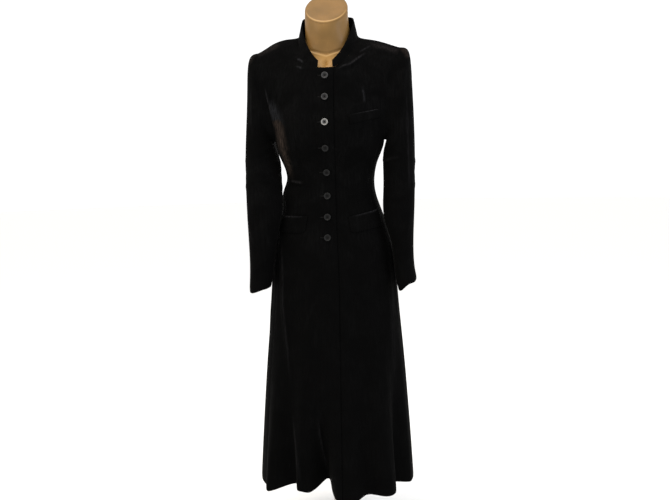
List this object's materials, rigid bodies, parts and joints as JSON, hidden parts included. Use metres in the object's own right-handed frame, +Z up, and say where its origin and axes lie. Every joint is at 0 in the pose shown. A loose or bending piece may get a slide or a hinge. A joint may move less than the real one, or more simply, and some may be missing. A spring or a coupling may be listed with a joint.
{
  "type": "overcoat on a limbless dress form",
  "caption": "Full-length fitted velvet overcoat with a stand collar and button front, worn by a limbless dress form on a pole and round base.",
  "frame": {"origin": "centre of the underside of the stand's round base, on the floor", "axes": "+Z up along the pole, -Y out of the coat's front, +X towards the wearer's left"},
  "size_m": [0.4779, 0.4394, 1.54],
  "materials": {
    "velvet": "black velvet with a short pile and a soft grey-brown sheen",
    "button": "dark grey polyester with a raised rim",
    "form": "tan moulded shell, satin",
    "stand": "satin nickel-plated steel"
  },
  "bodies": {
    "root": {"front_right": "velvet", "front_left": "velvet", "side_right": "velvet", "side_left": "velvet", "back_right": "velvet", "back_left": "velvet", "sleeve_right": "velvet", "sleeve_left": "velvet", "collar": "velvet", "breast_welt": "velvet", "hip_flap_right": "velvet", "hip_flap_left": "velvet", "button_1": "button", "button_2": "button", "button_3": "button", "button_4": "button", "button_5": "button", "button_6": "button", "button_7": "button", "button_8": "button", "form_torso": "form", "form_neck_cap": "form", "stand_pole": "stand", "stand_base": "stand"}
  },
  "joints": []
}
